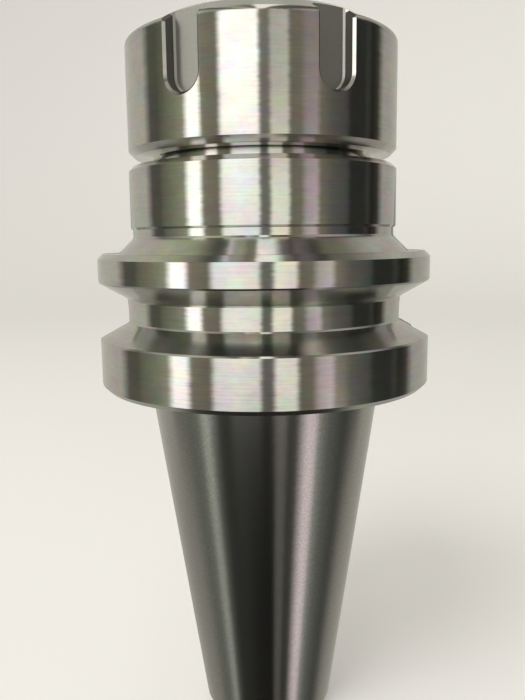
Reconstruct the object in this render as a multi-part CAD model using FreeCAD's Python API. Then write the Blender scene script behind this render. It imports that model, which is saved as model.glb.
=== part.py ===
"""Collet chuck holder: a 7:24 taper shank of size 40 with a nose for 33 mm collets.

Millimetres, +Z along the axis towards the nose, origin on the axis at the gauge line of the taper.
The two drive keyways face +X and -X. Each piece is written to its own STEP file in parts/.
Threads are plain cylinders on their pitch diameter, with a small running clearance.
"""
import FreeCAD, Part
import math
import os

# --- Taper shank ---------------------------------------------------------------------------------
GAUGE_D = 44.45                 # diameter at the gauge line
TAPER = 7.0 / 24.0              # diameter lost for each millimetre of length
SHANK_L = 65.4                  # gauge line to the small end
SHANK_END_BEVEL = 1.0

# --- Pull stud hole and coolant passage in the small end -----------------------------------------
STUD_D = 16.0
STUD_PITCH = 2.0
STUD_THREAD_L = 25.0
STUD_PILOT_D = 17.0
STUD_PILOT_L = 5.0
COOLANT_D = 8.0
DRILL_POINT = 118.0             # included angle of the drilled hole ends
EDGE_BREAK = 0.5                # small bevels on the edges of holes

# --- Flange --------------------------------------------------------------------------------------
FLANGE_D = 63.0
FLANGE_T = 25.0
FLANGE_FROM_GAUGE = 2.0
FLANGE_CORNER_BEVEL = 0.5       # in the corner between shank and flange
REAR_RIM_BEVEL = 0.9
FRONT_RIM_BEVEL = 1.0
GROOVE_FROM_GAUGE = 16.6        # middle of the gripper groove
GROOVE_MOUTH_W = 10.3
GROOVE_ROOT_W = 4.23
GROOVE_ANGLE = 60.0             # between the two flanks
GROOVE_ROOT_BEVEL = 0.2
GROOVE_EDGE_BEVEL = 0.2

# --- Drive keyways -------------------------------------------------------------------------------
KEYWAY_W = 16.1
KEYWAY_FLOOR = 22.6             # axis to the floor of each keyway
KEYWAY_L = 21.0                 # rear of the flange to the round end of each keyway
KEYWAY_FLOOR_BEVEL = 0.6

# --- Nose ----------------------------------------------------------------------------------------
NECK_D = 49.4
NECK_L = 4.25                   # flange face to the step below the collar
NECK_CONE_RISE = 2.8            # of the 45 degree cone between flange face and neck
NECK_CONE_BEVEL = 0.2
COLLAR_D = 50.2
COLLAR_L = 11.4
COLLAR_BEVEL = 0.85
NOSE_L = 12.25                  # collar face to the end of the nose
NOSE_D = 40.0                   # nose thread
NOSE_PITCH = 1.5
NOSE_RELIEF_DEPTH = 1.1         # below the crests of the thread
NOSE_RELIEF_L = 3.0
NOSE_END_BEVEL = 0.9

# --- Collet socket and the holes behind it -------------------------------------------------------
SEAT_ANGLE = 8.0                # half angle of the collet seat
COLLET_PROUD = 3.77             # how far the collet's rim stands in front of the nose
SOCKET_BEHIND_COLLET = 3.17     # the seat runs on this far behind the collet
TOOL_ROOM_D = 21.0              # room for the tool's shank behind the collet
TOOL_ROOM_BELOW_GAUGE = 6.0

# --- Stop screw ----------------------------------------------------------------------------------
STOP_D = 18.0
STOP_PITCH = 1.5
STOP_THREAD_L = 15.0            # threaded length in the body
STOP_SCREW_L = 9.0
STOP_SET_BELOW = 3.0            # how far the screw is set below the top of its thread
STOP_END_BEVEL = 0.9
STOP_HEX = 8.0                  # across flats
STOP_HEX_DEPTH = 4.5
STOP_COOLANT_D = 5.0

# --- Collet --------------------------------------------------------------------------------------
COLLET_D = 33.0
COLLET_L = 40.0
COLLET_BORE_D = 20.0
COLLET_CONE_L = 3.1             # clamping cone at the front
COLLET_CONE_ANGLE = 30.0        # half angle of the clamping cone
COLLET_LIP_D = 30.0             # lip between clamping cone and groove
COLLET_LIP_L = 0.4
COLLET_GROOVE_DEPTH = 1.0       # below the lip
COLLET_GROOVE_W = 2.4
COLLET_SHOULDER_L = 1.1         # slope from the groove up to the largest diameter
COLLET_EDGE_BEVEL = 0.3
SLIT_PAIRS = 4                  # cuts right across, from each end
SLIT_W = 0.8
SLIT_BRIDGE_FRONT = 8.6         # metal left in front of the cuts from the rear
SLIT_BRIDGE_REAR = 6.0          # metal left behind the cuts from the front

# --- Clamping nut --------------------------------------------------------------------------------
NUT_WALL = 5.0                  # crests of the nose thread to the outside
NUT_GAP = 1.75                  # collar face to the nut when the collet is clamped
NUT_OVER_COLLET = 0.83          # nut face in front of the collet face
NUT_REAR_BEVEL = 1.1
NUT_BEVEL_W = 4.0               # wide bevel round the front face, across the radius
NUT_BEVEL_ANGLE = 60.0          # of the wide bevel, from the axis
NUT_BEVEL_R = 1.0
NUT_END_ROOM = 2.1              # nose end to the inner shoulder of the nut
NUT_RELIEF_DEPTH = 0.3          # beyond the roots of the thread
NUT_RELIEF_L = 1.6
RIM_ROOM = 0.5                  # round the collet's largest diameter
RIB_PASS = 0.3                  # clearance of the extracting rib from the lip and the groove
SPANNER_SLOTS = 6
SLOT_W = 6.2
SLOT_DEPTH = 2.9
SLOT_L = 13.9                   # nut face to the round end of each slot
SLOT_EDGE_BEVEL = 0.45
SLOT_FLOOR_BEVEL = 0.3

# --- Fits ----------------------------------------------------------------------------------------
THREAD_PLAY = 0.06              # radial, between a screw and its hole
SEAT_PLAY = 0.03                # radial, between the collet and its seats

ORIGIN = FreeCAD.Vector(0, 0, 0)
UP = FreeCAD.Vector(0, 0, 1)
BEYOND = 10.0                   # how far a cutter runs past the metal


def tan(degrees):
    return math.tan(math.radians(degrees))


def pitch_radius(diameter, pitch):
    """Half the pitch diameter of a 60 degree metric thread."""
    return diameter / 2 - pitch * 3 * math.sqrt(3) / 16


# --- Levels along the axis -----------------------------------------------------------------------
shank_end = -SHANK_L
flange_rear = FLANGE_FROM_GAUGE
flange_front = flange_rear + FLANGE_T
neck_top = flange_front + NECK_L
collar_face = neck_top + COLLAR_L
nose_end = collar_face + NOSE_L
tool_room_foot = -TOOL_ROOM_BELOW_GAUGE

nose_thread_r = pitch_radius(NOSE_D, NOSE_PITCH) - THREAD_PLAY / 2
nut_thread_r = nose_thread_r + THREAD_PLAY
stop_screw_r = pitch_radius(STOP_D, STOP_PITCH) - THREAD_PLAY / 2
stop_hole_r = stop_screw_r + THREAD_PLAY
stud_hole_r = pitch_radius(STUD_D, STUD_PITCH)

stop_thread_top = tool_room_foot - (TOOL_ROOM_D / 2 - stop_hole_r)
stop_thread_foot = stop_thread_top - STOP_THREAD_L

collet_rim = nose_end + COLLET_PROUD
groove_rear = collet_rim + COLLET_SHOULDER_L
groove_front = groove_rear + COLLET_GROOVE_W
cone_foot = groove_front + COLLET_LIP_L
collet_face = cone_foot + COLLET_CONE_L
collet_rear = collet_face - COLLET_L
socket_foot = collet_rear - SOCKET_BEHIND_COLLET

nut_r = NOSE_D / 2 + NUT_WALL
slot_floor = nut_r - SLOT_DEPTH
nut_rear = collar_face + NUT_GAP
nut_face = collet_face + NUT_OVER_COLLET


def socket_radius(z):
    """The seat in the nose, which clears the collet's cone by the play."""
    return COLLET_D / 2 + SEAT_PLAY - (collet_rim - z) * tan(SEAT_ANGLE)


# --- Profiles ------------------------------------------------------------------------------------
def sharp(r, z):
    return (r, z, "sharp", 0.0)


def rounded(r, z, radius):
    return (r, z, "round", radius)


def bevelled(r, z, back):
    """A corner cut off straight, this far back along both of its sides."""
    return (r, z, "bevel", back)


def corner_ends(before, corner, after):
    """Where a dressed corner starts and ends, and the middle of its arc."""
    at = FreeCAD.Vector(corner[0], 0, corner[1])
    to_before = (FreeCAD.Vector(before[0], 0, before[1]) - at).normalize()
    to_after = (FreeCAD.Vector(after[0], 0, after[1]) - at).normalize()
    kind, size = corner[2:]
    if kind == "sharp":
        return at, at, None
    if kind == "bevel":
        return at + to_before * size, at + to_after * size, None
    half = to_before.getAngle(to_after) / 2
    start = at + to_before * (size / math.tan(half))
    end = at + to_after * (size / math.tan(half))
    inward = (to_before + to_after).normalize()
    middle = at + inward * (size / math.sin(half) - size)
    return start, end, middle


def turned(corners):
    """The solid swept by a closed outline of corners, (radius, height), round the Z axis."""
    ends = []
    for i, corner in enumerate(corners):
        ends.append(corner_ends(corners[i - 1], corner, corners[(i + 1) % len(corners)]))
    edges = []
    for i, (start, end, middle) in enumerate(ends):
        if middle is not None:
            edges.append(Part.Arc(start, middle, end).toShape())
        elif start.distanceToPoint(end) > 1e-6:
            edges.append(Part.makeLine(start, end))
        edges.append(Part.makeLine(end, ends[(i + 1) % len(ends)][0]))
    face = Part.Face(Part.Wire(edges))
    return face.revolve(ORIGIN, UP, 360)


def around(shape, count, first=0.0):
    """Copies of a shape, evenly spaced round the Z axis."""
    copies = []
    for i in range(count):
        copy = shape.copy()
        copy.rotate(ORIGIN, UP, first + 360.0 * i / count)
        copies.append(copy)
    return copies


def open_slot(width, floor, top, length, floor_bevel):
    """Cutter for a slot with a round lower end: open at the top, flat floor facing +X."""
    half = width / 2
    centre = top - length + half
    high = top + BEYOND
    points = [(-half, high), (-half, centre), (half, centre), (half, high)]
    left, left_low, right_low, right = [FreeCAD.Vector(floor, y, z) for y, z in points]
    lowest = FreeCAD.Vector(floor, 0, centre - half)
    wire = Part.Wire([
        Part.makeLine(left, left_low),
        Part.Arc(left_low, lowest, right_low).toShape(),
        Part.makeLine(right_low, right),
        Part.makeLine(right, left),
    ])
    cutter = Part.Face(wire).extrude(FreeCAD.Vector(FLANGE_D / 2, 0, 0))
    floor_edges = [
        edge for edge in cutter.Edges
        if edge.BoundBox.XMax < floor + 1e-6 and edge.BoundBox.ZMin < top
    ]
    return cutter.makeChamfer(floor_bevel, floor_edges)


# --- Holder body ---------------------------------------------------------------------------------
def holder_body():
    """Taper, flange, collar and threaded nose, turned in one piece and bored right through."""
    shank_end_r = GAUGE_D / 2 - SHANK_L * TAPER / 2
    flange_r = FLANGE_D / 2
    flank_rise = (GROOVE_MOUTH_W - GROOVE_ROOT_W) / 2
    groove_root_r = flange_r - flank_rise / tan(GROOVE_ANGLE / 2)
    groove_low = GROOVE_FROM_GAUGE - GROOVE_MOUTH_W / 2
    groove_high = GROOVE_FROM_GAUGE + GROOVE_MOUTH_W / 2
    relief_r = NOSE_D / 2 - NOSE_RELIEF_DEPTH
    relief_top = collar_face + NOSE_RELIEF_L
    outside = [
        sharp(STUD_PILOT_D / 2 + EDGE_BREAK, shank_end),
        bevelled(shank_end_r, shank_end, SHANK_END_BEVEL),
        sharp(GAUGE_D / 2, 0),
        bevelled(GAUGE_D / 2, flange_rear, FLANGE_CORNER_BEVEL),
        bevelled(flange_r, flange_rear, REAR_RIM_BEVEL),
        bevelled(flange_r, groove_low, GROOVE_EDGE_BEVEL),
        bevelled(groove_root_r, groove_low + flank_rise, GROOVE_ROOT_BEVEL),
        bevelled(groove_root_r, groove_high - flank_rise, GROOVE_ROOT_BEVEL),
        bevelled(flange_r, groove_high, GROOVE_EDGE_BEVEL),
        bevelled(flange_r, flange_front, FRONT_RIM_BEVEL),
        sharp(NECK_D / 2 + NECK_CONE_RISE, flange_front),
        bevelled(NECK_D / 2, flange_front + NECK_CONE_RISE, NECK_CONE_BEVEL),
        sharp(NECK_D / 2, neck_top),
        sharp(COLLAR_D / 2, neck_top + (COLLAR_D - NECK_D) / 2),
        bevelled(COLLAR_D / 2, collar_face, COLLAR_BEVEL),
        sharp(relief_r, collar_face),
        sharp(relief_r, relief_top),
        sharp(nose_thread_r, relief_top + nose_thread_r - relief_r),
        bevelled(nose_thread_r, nose_end, NOSE_END_BEVEL),
    ]
    drill_rise = tan(90 - DRILL_POINT / 2)
    coolant_r = COOLANT_D / 2
    stud_pilot_top = shank_end + STUD_PILOT_L
    stud_thread_top = stud_pilot_top + STUD_THREAD_L
    inside = [
        sharp(socket_radius(nose_end), nose_end),
        sharp(socket_radius(socket_foot), socket_foot),
        sharp(TOOL_ROOM_D / 2, socket_foot),
        sharp(TOOL_ROOM_D / 2, tool_room_foot),
        sharp(stop_hole_r, stop_thread_top),
        sharp(stop_hole_r, stop_thread_foot),
        sharp(coolant_r, stop_thread_foot - (stop_hole_r - coolant_r) * drill_rise),
        sharp(coolant_r, stud_thread_top + (stud_hole_r - coolant_r) * drill_rise),
        sharp(stud_hole_r, stud_thread_top),
        sharp(stud_hole_r, stud_pilot_top),
        sharp(STUD_PILOT_D / 2, stud_pilot_top),
        sharp(STUD_PILOT_D / 2, shank_end + EDGE_BREAK),
    ]
    body = turned(outside + inside)
    return body.cut(keyway_cutters())


def keyway_cutters():
    """Keyways open to the rear, each with a round end in the front rim of the flange."""
    keyway = open_slot(KEYWAY_W, KEYWAY_FLOOR, -flange_rear, KEYWAY_L, KEYWAY_FLOOR_BEVEL)
    keyway.rotate(ORIGIN, FreeCAD.Vector(1, 0, 0), 180)
    return around(keyway, 2)


# --- Collet --------------------------------------------------------------------------------------
def collet():
    """Spring collet: long seat cone, extracting groove, clamping cone, slit from both ends."""
    lip_r = COLLET_LIP_D / 2
    groove_r = lip_r - COLLET_GROOVE_DEPTH
    bore_r = COLLET_BORE_D / 2
    rear_r = socket_radius(collet_rear) - SEAT_PLAY
    blank = turned([
        sharp(bore_r + EDGE_BREAK, collet_face),
        sharp(lip_r - COLLET_CONE_L * tan(COLLET_CONE_ANGLE), collet_face),
        sharp(lip_r, cone_foot),
        sharp(lip_r, groove_front),
        sharp(groove_r, groove_front),
        sharp(groove_r, groove_rear),
        bevelled(COLLET_D / 2, collet_rim, COLLET_EDGE_BEVEL),
        bevelled(rear_r, collet_rear, EDGE_BREAK),
        sharp(bore_r + EDGE_BREAK, collet_rear),
        sharp(bore_r, collet_rear + EDGE_BREAK),
        sharp(bore_r, collet_face - EDGE_BREAK),
    ])
    from_front = slit(collet_rear + SLIT_BRIDGE_REAR, collet_face + BEYOND)
    from_rear = slit(collet_rear - BEYOND, collet_face - SLIT_BRIDGE_FRONT)
    step = 180.0 / SLIT_PAIRS
    cuts = []
    for i in range(SLIT_PAIRS):
        cuts.append(turned_by(from_front, step * i))
        cuts.append(turned_by(from_rear, step * (i + 0.5)))
    return blank.cut(cuts)


def slit(low, high):
    """A saw cut right across the collet, between two heights."""
    corner = FreeCAD.Vector(-COLLET_D, -SLIT_W / 2, low)
    return Part.makeBox(2 * COLLET_D, SLIT_W, high - low, corner)


def turned_by(shape, degrees):
    copy = shape.copy()
    copy.rotate(ORIGIN, UP, degrees)
    return copy


# --- Clamping nut --------------------------------------------------------------------------------
def clamping_nut():
    """Round nut: thread, eccentric rib that pulls the collet out, 30 degree seat, spanner slots."""
    lip_r = COLLET_LIP_D / 2
    seat_play = SEAT_PLAY / math.cos(math.radians(COLLET_CONE_ANGLE))

    def seat_radius(z):
        return lip_r + seat_play - (z - cone_foot) * tan(COLLET_CONE_ANGLE)

    face_r = nut_r - NUT_BEVEL_W
    bevel_rise = NUT_BEVEL_W / tan(NUT_BEVEL_ANGLE)
    rib_front = groove_front - RIB_PASS
    rib_rear = groove_rear + RIB_PASS
    groove_r = lip_r - COLLET_GROOVE_DEPTH
    rib_low_r = groove_r + RIB_PASS
    rib_high_r = lip_r + RIB_PASS
    shoulder = nose_end + NUT_END_ROOM
    relief_foot = shoulder - NUT_RELIEF_L
    rim_room_r = COLLET_D / 2 + RIM_ROOM
    relief_r = NOSE_D / 2 + NUT_RELIEF_DEPTH
    blank = turned([
        sharp(nut_thread_r + NUT_REAR_BEVEL, nut_rear),
        bevelled(nut_r, nut_rear, NUT_REAR_BEVEL),
        rounded(nut_r, nut_face - bevel_rise, NUT_BEVEL_R),
        sharp(face_r, nut_face),
        sharp(seat_radius(collet_face) + NUT_OVER_COLLET, nut_face),
        sharp(seat_radius(collet_face), collet_face),
        sharp(seat_radius(rib_front), rib_front),
        sharp(groove_r, rib_front),
        sharp(groove_r, rib_rear),
        sharp(rim_room_r, rib_rear),
        sharp(rim_room_r, shoulder),
        sharp(relief_r, shoulder),
        sharp(relief_r, relief_foot),
        sharp(nut_thread_r, relief_foot - relief_r + nut_thread_r),
        sharp(nut_thread_r, nut_rear + NUT_REAR_BEVEL),
    ])
    offset = (rib_high_r - rib_low_r) / 2
    rib_hole = Part.makeCylinder(
        (rib_high_r + rib_low_r) / 2,
        rib_front - rib_rear + RIB_PASS / 2,
        FreeCAD.Vector(offset, 0, rib_rear - RIB_PASS / 4),
    )
    slot = open_slot(SLOT_W, slot_floor, nut_face, SLOT_L, SLOT_FLOOR_BEVEL)
    nut = blank.cut([rib_hole] + around(slot, SPANNER_SLOTS))
    return nut.makeChamfer(SLOT_EDGE_BEVEL, slot_mouth_edges(nut))


def slot_mouth_edges(nut):
    """The edges that the spanner slots leave in the nut's cylindrical outside."""
    slot_end = nut_face - SLOT_L
    edges = []
    for face in nut.Faces:
        on_outside = isinstance(face.Surface, Part.Cylinder) and face.Surface.Radius > slot_floor
        if on_outside:
            edges += [
                edge for edge in face.Edges
                if edge.BoundBox.ZLength > SLOT_EDGE_BEVEL and edge.BoundBox.ZMin > slot_end - SLOT_EDGE_BEVEL
            ]
    return edges


# --- Stop screw ----------------------------------------------------------------------------------
def stop_screw():
    """Hollow set screw behind the collet: it sets how far a tool goes in, and lets coolant pass."""
    top = stop_thread_top - STOP_SET_BELOW
    foot = top - STOP_SCREW_L
    hole_r = STOP_COOLANT_D / 2
    blank = turned([
        sharp(hole_r, foot),
        bevelled(stop_screw_r, foot, STOP_END_BEVEL),
        bevelled(stop_screw_r, top, STOP_END_BEVEL),
        sharp(hole_r, top),
    ])
    corner_r = STOP_HEX / math.sqrt(3)
    corners = []
    for i in range(7):
        angle = math.radians(60 * i)
        x = corner_r * math.cos(angle)
        y = corner_r * math.sin(angle)
        corners.append(FreeCAD.Vector(x, y, top - STOP_HEX_DEPTH))
    hexagon = Part.Face(Part.makePolygon(corners))
    return blank.cut(hexagon.extrude(UP * (STOP_HEX_DEPTH + BEYOND)))


PIECES = {
    "holder_body": holder_body,
    "collet": collet,
    "clamping_nut": clamping_nut,
    "stop_screw": stop_screw,
}

os.makedirs("parts", exist_ok=True)
for name, make in PIECES.items():
    shape = make()
    shape.exportStep("parts/" + name + ".step")
    print(name, "solids", len(shape.Solids), "valid", shape.isValid(), "volume", round(shape.Volume, 1))
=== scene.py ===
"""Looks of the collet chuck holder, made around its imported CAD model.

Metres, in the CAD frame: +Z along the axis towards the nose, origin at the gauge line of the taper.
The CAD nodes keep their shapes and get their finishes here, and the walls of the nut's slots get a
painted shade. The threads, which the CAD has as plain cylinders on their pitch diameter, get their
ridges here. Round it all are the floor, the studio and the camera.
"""
import math

import bpy
from mathutils import Matrix, Vector


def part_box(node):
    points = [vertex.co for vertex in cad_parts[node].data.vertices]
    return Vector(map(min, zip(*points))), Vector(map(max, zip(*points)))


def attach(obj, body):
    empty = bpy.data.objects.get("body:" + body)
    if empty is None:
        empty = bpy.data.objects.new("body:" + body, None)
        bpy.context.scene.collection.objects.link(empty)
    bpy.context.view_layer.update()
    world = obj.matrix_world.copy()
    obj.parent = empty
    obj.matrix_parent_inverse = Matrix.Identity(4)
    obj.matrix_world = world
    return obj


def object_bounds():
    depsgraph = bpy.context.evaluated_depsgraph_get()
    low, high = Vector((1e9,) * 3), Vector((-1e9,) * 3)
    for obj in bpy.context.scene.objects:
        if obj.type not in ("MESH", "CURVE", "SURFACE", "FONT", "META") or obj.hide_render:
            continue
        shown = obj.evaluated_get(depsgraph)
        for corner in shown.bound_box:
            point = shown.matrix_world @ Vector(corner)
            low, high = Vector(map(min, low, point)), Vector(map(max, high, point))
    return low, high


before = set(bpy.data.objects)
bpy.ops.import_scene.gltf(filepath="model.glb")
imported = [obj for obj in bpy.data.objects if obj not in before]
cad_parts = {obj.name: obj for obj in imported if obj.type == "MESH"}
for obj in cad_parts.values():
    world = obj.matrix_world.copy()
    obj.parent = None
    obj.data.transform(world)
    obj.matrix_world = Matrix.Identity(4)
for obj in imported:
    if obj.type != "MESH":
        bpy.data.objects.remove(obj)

MM = 0.001
cad_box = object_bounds()

# Threads: the wall is the CAD's cylinder, and the crest is where the ridge on it ends
NOSE_PITCH = 1.5 * MM
NOSE_WALL_R = 19.483 * MM
NOSE_CREST_R = 20.0 * MM
NOSE_THREAD_LOW = 45.9 * MM
NOSE_THREAD_HIGH = 54.3 * MM
NUT_WALL_R = 19.543 * MM
NUT_CREST_R = 19.19 * MM
NUT_THREAD_INSET = 1.2 * MM          # from the nut's rear face
NUT_THREAD_HIGH = 54.7 * MM
STOP_PITCH = 1.5 * MM
STOP_WALL_R = 8.483 * MM
STOP_CREST_R = 9.0 * MM
STOP_THREAD_INSET = 0.9 * MM         # from both ends of the screw
STUD_PITCH = 2.0 * MM
STUD_WALL_R = 7.35 * MM
STUD_CREST_R = 6.92 * MM
STUD_THREAD_LOW = -60.6 * MM
STUD_THREAD_HIGH = -36.0 * MM

# Where one finish ends and the next begins, just past the CAD's own edges
TAPER_TOP = 0.1 * MM
BORES_R = 12 * MM
KEYWAY_HALF_W = 8.06 * MM
KEYWAY_FLOOR_R = 22.5 * MM
KEYWAY_REAR = 2.1 * MM
KEYWAY_FRONT = 36 * MM
SLOTS = 6
SLOT_HALF_W = 3.11 * MM
SLOT_FLOOR_R = 22 * MM
SLOT_CHAMFER_R = 24.8 * MM
SLOT_END = 52.5 * MM

# The camera: about the axis from -Y, then its own place and aim
CAMERA_TURN = 1.0            # degrees from -Y towards +X
CAMERA_BACK = 0.13768
CAMERA_HEIGHT = 0.02944
CAMERA_PITCH = -9.001
CAMERA_YAW = 0.176
CAMERA_ROLL = -0.690
CAMERA_LENS = 36.145         # mm, on a 36 mm sensor's long side


# --- Small helpers for node graphs ---------------------------------------------------------------
class Graph:
    """A node tree that is filled by short calls."""

    def __init__(self, owner):
        owner.use_nodes = True
        self.tree = owner.node_tree
        self.tree.nodes.clear()

    def add(self, kind, settings=None, **inputs):
        """A node with settings, and inputs that are plain values or sockets of other nodes."""
        node = self.tree.nodes.new("ShaderNode" + kind)
        for name, value in (settings or {}).items():
            setattr(node, name, value)
        for name, value in inputs.items():
            self.feed(node.inputs[name.replace("_", " ")], value)
        return node

    def feed(self, socket, value):
        if isinstance(value, bpy.types.NodeSocket):
            self.tree.links.new(value, socket)
        else:
            socket.default_value = value

    def math(self, operation, *values):
        node = self.add("Math", {"operation": operation})
        for socket, value in zip(node.inputs, values):
            self.feed(socket, value)
        return node.outputs[0]

    def vector(self, operation, *values):
        node = self.add("VectorMath", {"operation": operation})
        sockets = [s for s in node.inputs if s.name != "Scale"]
        for socket, value in zip(sockets, values):
            self.feed(socket, value)
        return node.outputs["Value" if operation == "LENGTH" else "Vector"]

    def scaled(self, vector, factor):
        node = self.add("VectorMath", {"operation": "SCALE"}, Scale=factor)
        self.feed(node.inputs[0], vector)
        return node.outputs["Vector"]

    def smooth(self, value, low, high, to_low=0.0, to_high=1.0):
        """A smooth step of value between low and high."""
        node = self.add(
            "MapRange", {"interpolation_type": "SMOOTHSTEP"},
            Value=value, From_Min=low, From_Max=high, To_Min=to_low, To_Max=to_high,
        )
        return node.outputs["Result"]

    def mix(self, factor, a, b):
        node = self.add("MixRGB")
        self.feed(node.inputs[0], factor)
        self.feed(node.inputs[1], a)
        self.feed(node.inputs[2], b)
        return node.outputs[0]

    def ramp(self, value, stops):
        """A colour ramp of (place from 0 to 1, (r, g, b))."""
        node = self.add("ValToRGB", Fac=value)
        elements = node.color_ramp.elements
        while len(elements) > 1:
            elements.remove(elements[-1])
        elements[0].position, elements[0].color = stops[0][0], (*stops[0][1], 1)
        for place, colour in stops[1:]:
            elements.new(place).color = (*colour, 1)
        return node.outputs["Color"]

    def noise(self, vector, w=0.0, scale=1.0, detail=2.0, roughness=0.5):
        """The noise as a number and as a colour."""
        node = self.add(
            "TexNoise", {"noise_dimensions": "4D"},
            Vector=vector, W=w, Scale=scale, Detail=detail, Roughness=roughness,
        )
        return node.outputs["Fac"], node.outputs["Color"]


# --- Studio --------------------------------------------------------------------------------------
# What surrounds the object. Each stop is a place, a level and a tint; level 1 is white paper.
WARM = (1.0, 0.97, 0.86)
OLIVE = (1.0, 1.02, 0.74)
BROWN = (1.0, 0.93, 0.70)
CLEAR = (1.0, 1.0, 0.95)
PINK = (1.08, 0.94, 0.96)
SLATE = (0.95, 1.0, 0.88)

# By azimuth as the camera sees it: 0 is behind the camera, +90 is to the right, 180 is behind the
# object. The flange and the collar reflect EYE_LEVEL, the nut ABOVE and the taper BELOW.
EYE_LEVEL = [
    (-180, 0.58, WARM), (-114, 0.56, WARM), (-104, 0.11, WARM), (-94, 0.11, OLIVE),
    (-90, 0.17, OLIVE), (-76, 0.28, OLIVE), (-67, 0.38, OLIVE), (-62, 1.9, CLEAR),
    (-53, 1.9, CLEAR), (-49, 0.30, BROWN), (-36, 0.24, BROWN), (-32, 1.3, CLEAR),
    (-20, 1.4, CLEAR), (-4, 1.2, CLEAR), (-1, 0.20, WARM), (5, 0.22, WARM),
    (8, 1.4, WARM), (20, 1.3, WARM), (23, 0.22, BROWN), (31, 0.25, BROWN),
    (36, 0.60, PINK), (44, 0.70, PINK), (48, 0.24, BROWN), (58, 0.14, WARM),
    (72, 0.10, SLATE), (77, 0.035, SLATE), (92, 0.035, SLATE), (96, 0.06, SLATE),
    (102, 0.022, BROWN), (110, 0.05, BROWN), (119, 0.46, WARM), (180, 0.56, WARM),
]
ABOVE = [
    (-180, 0.58, WARM), (-114, 0.56, WARM), (-104, 0.11, WARM), (-94, 0.11, OLIVE),
    (-90, 0.15, OLIVE), (-76, 0.28, OLIVE), (-67, 0.38, OLIVE), (-62, 1.95, CLEAR),
    (-53, 1.95, CLEAR), (-49, 0.28, BROWN), (-36, 0.24, BROWN), (-32, 1.95, CLEAR),
    (-20, 2.0, CLEAR), (-4, 1.9, CLEAR), (-1, 0.22, WARM), (5, 0.24, WARM),
    (8, 0.60, WARM), (20, 0.66, WARM), (23, 0.22, BROWN), (31, 0.23, BROWN),
    (36, 0.28, PINK), (44, 0.30, PINK), (48, 0.20, BROWN), (58, 0.13, WARM),
    (72, 0.09, SLATE), (77, 0.030, SLATE), (92, 0.030, SLATE), (96, 0.06, SLATE),
    (102, 0.022, BROWN), (110, 0.05, BROWN), (119, 0.46, WARM), (180, 0.56, WARM),
]
BELOW = [
    (-180, 0.50, WARM), (-140, 0.40, WARM), (-106, 0.30, WARM), (-86, 0.165, SLATE),
    (-75, 0.20, SLATE), (-69, 0.46, SLATE), (-64, 0.46, SLATE), (-58, 0.11, SLATE),
    (-48, 0.035, SLATE), (-30, 0.022, SLATE), (-16, 0.007, SLATE), (8, 0.007, SLATE),
    (13, 0.14, WARM), (20, 0.14, WARM), (25, 0.045, WARM), (34, 0.06, OLIVE),
    (41, 0.55, PINK), (46, 0.92, PINK), (54, 0.92, PINK), (59, 0.36, SLATE),
    (70, 0.17, SLATE), (90, 0.08, SLATE), (98, 0.11, WARM), (112, 0.29, WARM),
    (124, 0.36, WARM), (180, 0.50, WARM),
]
# Overhead, by the lean of a direction from straight up: -90 is level to the left, +90 to the right
OVERHEAD = [
    (-90, 0.58, WARM), (-50, 0.57, OLIVE), (-40, 0.49, OLIVE), (-32, 0.38, OLIVE),
    (-27, 0.26, BROWN), (-23, 0.13, WARM), (-20, 0.07, WARM), (-16, 0.20, SLATE),
    (-15, 0.90, PINK), (-13.8, 0.90, PINK), (-13, 0.42, CLEAR), (-9, 0.40, OLIVE),
    (-6, 0.20, OLIVE), (-3.5, 0.28, OLIVE), (-2, 1.35, CLEAR), (4.5, 1.30, CLEAR),
    (8, 0.26, WARM), (10, 0.20, PINK), (12, 0.08, WARM), (14, 0.18, PINK),
    (18, 0.16, PINK), (22, 0.05, WARM), (24, 0.06, WARM), (27, 0.19, BROWN),
    (38, 0.22, BROWN), (46, 0.34, WARM), (60, 0.50, WARM), (90, 0.58, WARM),
]
# The wall behind the object, by elevation
BEHIND = [
    (0, 0.58, WARM), (12, 0.60, WARM), (17, 1.08, WARM), (27, 1.05, WARM), (38, 0.46, WARM),
    (60, 0.58, WARM),
]
UNDER = (0.030, 0.029, 0.025)   # the dark straight below
BRIGHTEST = 2.0                 # a colour ramp holds no more than 1, so it holds shares of this

# Where one gives way to the next: degrees of elevation, and of azimuth for the wall's sides
UNDER_TO_BELOW = (-62.0, -50.0)
BELOW_TO_EYE_LEVEL = (-30.0, -9.0)
EYE_LEVEL_TO_ABOVE = (4.0, 10.0)
ABOVE_TO_OVERHEAD = (20.0, 42.0)
BEHIND_SIDE = (156, 168)
BEHIND_FOOT = (8.0, 14.0)
BEHIND_TOP = (52.0, 60.0)
BEHIND_SPAN = 60.0


def band(graph, place, stops, start=-180.0, end=180.0):
    """The stops as a colour ramp, for a place that runs from 0 to 1 between start and end."""
    return graph.ramp(place, [
        ((at - start) / (end - start), tuple(level * part / BRIGHTEST for part in tint))
        for at, level, tint in stops
    ])


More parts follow.
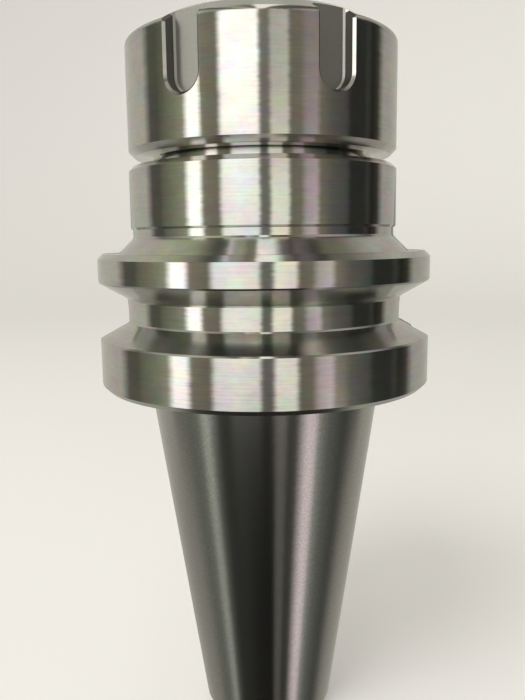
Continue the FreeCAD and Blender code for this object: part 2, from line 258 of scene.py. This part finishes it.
def make_world():
    """Soft cards and dark gaps all round, as they stand in a real room."""
    world = bpy.data.worlds.new("studio")
    bpy.context.scene.world = world
    g = Graph(world)
    direction = g.add("TexCoord").outputs["Generated"]
    x, y, z = g.add("SeparateXYZ", Vector=direction).outputs
    azimuth = g.math("ARCTAN2", x, g.math("MULTIPLY", y, -1.0))
    turned = g.math("ADD", azimuth, math.pi - math.radians(CAMERA_TURN))
    turn = g.math("DIVIDE", turned, 2 * math.pi)
    elevation = g.math("DEGREES", g.math("ARCSINE", z))

    below, eye_level, above = (band(g, turn, stops) for stops in (BELOW, EYE_LEVEL, ABOVE))
    colour = g.mix(g.smooth(elevation, *BELOW_TO_EYE_LEVEL), below, eye_level)
    colour = g.mix(g.smooth(elevation, *EYE_LEVEL_TO_ABOVE), colour, above)

    # A lean is the arc sine of x / z, so that bevels at 45 degrees show the stops by their own
    # angle round the axis
    height = g.math("MAXIMUM", z, 0.001)
    share = g.math("MINIMUM", g.math("DIVIDE", x, height), 1.0)
    lean = g.math("ARCSINE", g.math("MAXIMUM", share, -1.0))
    across = g.math("ADD", g.math("DIVIDE", lean, math.pi), 0.5)
    overhead = band(g, across, OVERHEAD, -90.0, 90.0)
    colour = g.mix(g.smooth(elevation, *ABOVE_TO_OVERHEAD), colour, overhead)

    back = g.smooth(g.math("ABSOLUTE", azimuth), *(math.radians(side) for side in BEHIND_SIDE))
    back = g.math("MULTIPLY", back, g.smooth(elevation, *BEHIND_FOOT))
    back = g.math("MULTIPLY", back, g.smooth(elevation, *BEHIND_TOP, 1.0, 0.0))
    up_wall = g.math("DIVIDE", elevation, BEHIND_SPAN)
    colour = g.mix(back, colour, band(g, up_wall, BEHIND, 0.0, BEHIND_SPAN))

    dark = tuple(part / BRIGHTEST for part in UNDER)
    colour = g.mix(g.smooth(elevation, *UNDER_TO_BELOW), (*dark, 1), colour)
    light = g.add("Background", Color=colour, Strength=BRIGHTEST)
    g.add("OutputWorld", Surface=light.outputs[0])


def revolved(name, profile, steps):
    """An object of revolution round Z, from (radius, height) points off the axis."""
    points = []
    faces = []
    for r, z in profile:
        for i in range(steps):
            angle = 2 * math.pi * i / steps
            points.append((r * math.cos(angle), r * math.sin(angle), z))
    for ring in range(len(profile) - 1):
        for i in range(steps):
            a = ring * steps + i
            b = ring * steps + (i + 1) % steps
            faces.append((a, b, b + steps, a + steps))
    mesh = bpy.data.meshes.new(name)
    mesh.from_pydata(points, [], faces)
    mesh.shade_smooth()
    return link(name, mesh)


def link(name, mesh):
    obj = bpy.data.objects.new(name, mesh)
    bpy.context.scene.collection.objects.link(obj)
    return obj


FLOOR_COLOUR = (0.79, 0.77, 0.75)
FLOOR_LIFT = 0.32            # shown to the camera only
FLOOR_FLAT_R = 0.8
FLOOR_BEND_R = 0.6
FLOOR_TALL = 2.4
FLOOR_PINHOLE_R = 0.0004     # keeps the middle free of zero-area faces
FLOOR_BEND_STEPS = 12
FLOOR_ROUND_STEPS = 96

LAMP_PLACE = (-0.35, -0.45, 0.75)
LAMP_SIZE = 0.5
LAMP_POWER = 4.0


def make_floor():
    """A pale floor that sweeps up into a backdrop on every side, and keeps the object's shadow."""
    level = cad_box[0].z
    profile = [(FLOOR_PINHOLE_R, level), (FLOOR_FLAT_R, level)]
    for i in range(1, FLOOR_BEND_STEPS + 1):
        angle = math.radians(90 * i / FLOOR_BEND_STEPS)
        out = FLOOR_BEND_R * math.sin(angle)
        up = FLOOR_BEND_R * (1 - math.cos(angle))
        profile.append((FLOOR_FLAT_R + out, level + up))
    profile.append((FLOOR_FLAT_R + FLOOR_BEND_R, level + FLOOR_TALL))
    floor = revolved("floor", profile, FLOOR_ROUND_STEPS)
    material = bpy.data.materials.new("floor")
    g = Graph(material)
    surface = g.add("BsdfDiffuse", Color=(*FLOOR_COLOUR, 1))
    seen = g.add("LightPath").outputs["Is Camera Ray"]
    strength = g.math("MULTIPLY", seen, FLOOR_LIFT)
    lift = g.add("Emission", Color=(*FLOOR_COLOUR, 1), Strength=strength)
    both = g.add("AddShader")
    g.feed(both.inputs[0], surface.outputs[0])
    g.feed(both.inputs[1], lift.outputs[0])
    g.add("OutputMaterial", Surface=both.outputs[0])
    floor.data.materials.append(material)
    floor.visible_shadow = False
    floor.visible_glossy = False
    floor.visible_diffuse = False


def make_lamp():
    """One wide soft lamp above and to the front left: it gives the floor its light and shadow."""
    data = bpy.data.lights.new("soft_lamp", "AREA")
    data.shape = "DISK"
    data.size = LAMP_SIZE
    data.energy = LAMP_POWER
    lamp = bpy.data.objects.new("soft_lamp", data)
    bpy.context.scene.collection.objects.link(lamp)
    lamp.location = LAMP_PLACE
    lamp.rotation_euler = (-Vector(lamp.location)).to_track_quat("-Z", "Y").to_euler()
    lamp.visible_glossy = False
    lamp.visible_camera = False


def make_camera():
    """The photo's camera, as it was found from the edges of the taper and the flange."""
    data = bpy.data.cameras.new("camera")
    data.sensor_width = 36.0
    data.lens = CAMERA_LENS
    data.clip_start = 0.01
    data.clip_end = 20.0
    camera = bpy.data.objects.new("camera", data)
    bpy.context.scene.collection.objects.link(camera)
    camera.matrix_world = (
        Matrix.Rotation(math.radians(CAMERA_TURN), 4, "Z")
        @ Matrix.Translation((0, -CAMERA_BACK, CAMERA_HEIGHT))
        @ Matrix.Rotation(math.radians(CAMERA_YAW), 4, "Z")
        @ Matrix.Rotation(math.radians(90 + CAMERA_PITCH), 4, "X")
        @ Matrix.Rotation(math.radians(CAMERA_ROLL), 4, "Z")
    )
    bpy.context.scene.camera = camera


# --- Threads -------------------------------------------------------------------------------------
THREAD_STEPS = 96            # points to each turn
THREAD_FADE_STEPS = 20       # over which a ridge grows at its ends
THREAD_SUNK = 0.02 * MM      # how deep a ridge's foot sits in the wall
THREAD_ROOT_FLAT = 0.03 * MM


def thread(name, body, material, wall, crest, low, high, pitch, phase=0.0):
    """The ridge of a right-handed 60 degree thread, standing on a CAD cylinder of radius wall.

    It stands outward where the crest's radius is the larger, as on a screw, and else inward.
    """
    outward = 1 if crest > wall else -1
    foot_half = pitch / 4 - THREAD_ROOT_FLAT
    crest_half = pitch / 16 if outward > 0 else pitch / 8
    inner = wall - outward * THREAD_SUNK
    first = math.ceil((low / pitch - phase) * THREAD_STEPS)
    last = math.floor((high / pitch - phase) * THREAD_STEPS)
    points = []
    faces = []
    for i in range(first, last + 1):
        angle = 2 * math.pi * i / THREAD_STEPS
        middle = (i / THREAD_STEPS + phase) * pitch
        grown = min(1.0, (i - first + 1) / THREAD_FADE_STEPS, (last - i + 1) / THREAD_FADE_STEPS)
        top = wall + (crest - wall) * grown
        for r, z in (
            (inner, middle - foot_half), (top, middle - crest_half),
            (top, middle + crest_half), (inner, middle + foot_half),
        ):
            points.append((r * math.cos(angle), r * math.sin(angle), z))
    for ring in range(last - first):
        a = 4 * ring
        for side in range(4):
            b = (side + 1) % 4
            faces.append((a + side, a + b, a + 4 + b, a + 4 + side)[::outward])
    faces.append((3, 2, 1, 0)[::outward])
    end = len(points) - 4
    faces.append((end, end + 1, end + 2, end + 3)[::outward])
    mesh = bpy.data.meshes.new(name)
    mesh.from_pydata(points, [], faces)
    mesh.shade_smooth()
    mesh.set_sharp_from_angle(angle=math.radians(35))
    mesh.materials.append(material)
    ridge = link(name, mesh)
    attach(ridge, body)


def make_threads(turned, black):
    nut_low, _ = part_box("clamping_nut")
    stop_low, stop_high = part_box("stop_screw")
    thread(
        "nose_thread", "holder", turned, NOSE_WALL_R, NOSE_CREST_R,
        NOSE_THREAD_LOW, NOSE_THREAD_HIGH, NOSE_PITCH,
    )
    # Half a pitch on, so that the nut's ridge lies in the nose's groove
    thread(
        "nut_thread", "nut", turned, NUT_WALL_R, NUT_CREST_R,
        nut_low.z + NUT_THREAD_INSET, NUT_THREAD_HIGH, NOSE_PITCH, phase=0.5,
    )
    thread(
        "stop_screw_thread", "stop", black, STOP_WALL_R, STOP_CREST_R,
        stop_low.z + STOP_THREAD_INSET, stop_high.z - STOP_THREAD_INSET, STOP_PITCH,
    )
    thread(
        "pull_stud_thread", "holder", turned, STUD_WALL_R, STUD_CREST_R,
        STUD_THREAD_LOW, STUD_THREAD_HIGH, STUD_PITCH,
    )


# --- Finishes ------------------------------------------------------------------------------------
# How fast the noises change across and along the tool's rings, for each metre
FINE_RINGS = (7000.0, 60.0)
SWINGING_RINGS = (1500.0, 90.0)
PALE_COLOURS = (420.0, 260.0)
SPECKLE_SCALE = 2600.0


def steel(name, colour, roughness, anisotropy, lines, wander, rainbow, grain=0.0):
    """Machined steel.

    lines is how strongly the tool's fine rings change the brightness, wander how far they swing the
    surface, rainbow how much they split the light into pale colours, and grain the strength of the
    speckle of a ground or milled surface.
    """
    material = bpy.data.materials.new(name)
    g = Graph(material)
    place = g.add("TexCoord").outputs["Object"]
    x, y, z = g.add("SeparateXYZ", Vector=place).outputs
    radius = g.vector("LENGTH", g.vector("MULTIPLY", place, (1.0, 1.0, 0.0)))

    def rings(across, along):
        """Coordinates that change fast across the rings and slowly along them."""
        vector = g.add(
            "CombineXYZ",
            X=g.math("MULTIPLY", radius, across),
            Y=g.math("MULTIPLY", z, across),
            Z=g.math("MULTIPLY", x, along),
        ).outputs[0]
        return vector, g.math("MULTIPLY", y, along)

    vector, w = rings(*FINE_RINGS)
    fine = g.noise(vector, w, detail=3.0, roughness=0.7)[0]
    vector, w = rings(*SWINGING_RINGS)
    swing = g.noise(vector, w, detail=3.0, roughness=0.65)[0]
    vector, w = rings(*PALE_COLOURS)
    hues = g.noise(vector, w, detail=4.0, roughness=0.6)[1]
    speckle = g.noise(place, scale=SPECKLE_SCALE, detail=2.0, roughness=0.7)[0]

    shade = g.math("MULTIPLY_ADD", g.math("SUBTRACT", fine, 0.5), lines, 1.0)
    if grain:
        dots = g.math("MULTIPLY_ADD", g.math("SUBTRACT", speckle, 0.5), grain, 1.0)
        shade = g.math("MULTIPLY", shade, dots)
    tint = g.mix(rainbow, (0.5, 0.5, 0.5, 1), hues)
    tint = g.vector("MULTIPLY", tint, (2.0, 2.0, 2.0))
    base = g.scaled(g.vector("MULTIPLY", tint, colour), shade)

    normal = g.add("NewGeometry").outputs["Normal"]
    sideways = g.vector("NORMALIZE", g.vector("CROSS_PRODUCT", (0.0, 0.0, 1.0), normal))
    push = g.math("MULTIPLY", g.math("SUBTRACT", swing, 0.5), wander)
    tilt = g.math("MULTIPLY", g.math("SUBTRACT", fine, 0.5), wander)
    leaning = g.vector("ADD", normal, g.scaled(sideways, push))
    leaning = g.vector("ADD", leaning, g.scaled(g.vector("CROSS_PRODUCT", normal, sideways), tilt))
    leaning = g.vector("NORMALIZE", leaning)

    shader = g.add(
        "BsdfPrincipled",
        Base_Color=base, Metallic=1.0, Roughness=roughness, Normal=leaning,
        Anisotropic=anisotropy, Anisotropic_Rotation=0.25,
        Tangent=g.add("Tangent", {"direction_type": "RADIAL", "axis": "Z"}).outputs[0],
    )
    g.add("OutputMaterial", Surface=shader.outputs[0])
    return material


def paint(node, default, *others):
    """Gives a CAD node its finishes.

    Each other one is (material, test of a face's centre and normal), and the last that fits counts.
    """
    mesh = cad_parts[node].data
    mesh.materials.clear()
    mesh.materials.append(default)
    for material, _ in others:
        mesh.materials.append(material)
    for face in mesh.polygons:
        face.material_index = 0
        for i, (_, test) in enumerate(others, start=1):
            if test(face.center, face.normal):
                face.material_index = i


def from_axis(centre):
    return math.hypot(centre.x, centre.y)


def on_taper(centre, normal):
    """On the taper's cone, but not in the bores or on the shank's end."""
    return centre.z < TAPER_TOP and normal.z > -0.5 and from_axis(centre) > BORES_R


def in_keyway(centre, normal):
    across = abs(centre.y) < KEYWAY_HALF_W and abs(centre.x) > KEYWAY_FLOOR_R
    return across and KEYWAY_REAR < centre.z < KEYWAY_FRONT


def in_slot(centre, normal):
    half_step = math.pi / SLOTS
    from_slot = (math.atan2(centre.y, centre.x) + half_step) % (2 * half_step) - half_step
    radius = from_axis(centre)
    aside = abs(radius * math.sin(from_slot))
    return radius > SLOT_FLOOR_R and aside < SLOT_HALF_W and centre.z > SLOT_END


def on_slot_wall(centre, normal):
    """In a slot and facing sideways, short of the chamfer round its edge: these are the faces that
    get the painted shade.
    """
    outward = Vector((centre.x, centre.y, 0)).normalized()
    sideways = normal.dot(outward) < 0.5
    return in_slot(centre, normal) and sideways and from_axis(centre) < SLOT_CHAMFER_R


def finish_nodes():
    turned = steel(
        "turned_steel", (0.58, 0.57, 0.54), roughness=0.13, anisotropy=1.0,
        lines=0.34, wander=0.03, rainbow=0.32,
    )
    ground = steel(
        "ground_steel", (0.54, 0.53, 0.50), roughness=0.17, anisotropy=0.7,
        lines=0.10, wander=0.02, rainbow=0.05, grain=0.5,
    )
    milled = steel(
        "milled_steel", (0.50, 0.49, 0.46), roughness=0.42, anisotropy=0.0,
        lines=0.10, wander=0.02, rainbow=0.0, grain=0.25,
    )
    # Painted shade: the slot walls get a much darker base colour than the milled slot floors,
    # standing in for the shade that falls inside the nut's slots
    painted_slot_shade = steel(
        "slot_wall_painted_shade", (0.16, 0.16, 0.15), roughness=0.42, anisotropy=0.0,
        lines=0.10, wander=0.02, rainbow=0.0, grain=0.25,
    )
    sprung = steel(
        "spring_steel", (0.56, 0.55, 0.53), roughness=0.25, anisotropy=0.6,
        lines=0.15, wander=0.02, rainbow=0.1,
    )
    black = steel(
        "black_steel", (0.06, 0.06, 0.065), roughness=0.40, anisotropy=0.3,
        lines=0.2, wander=0.02, rainbow=0.0,
    )
    paint("holder_body", turned, (ground, on_taper), (milled, in_keyway))
    # The slot walls get the painted shade, darker than the slot floors
    paint("clamping_nut", turned, (milled, in_slot), (painted_slot_shade, on_slot_wall))
    paint("collet", sprung)
    paint("stop_screw", black)
    make_threads(turned, black)


bpy.context.scene.view_settings.view_transform = "Standard"
make_camera()
make_world()
make_lamp()
make_floor()
finish_nodes()
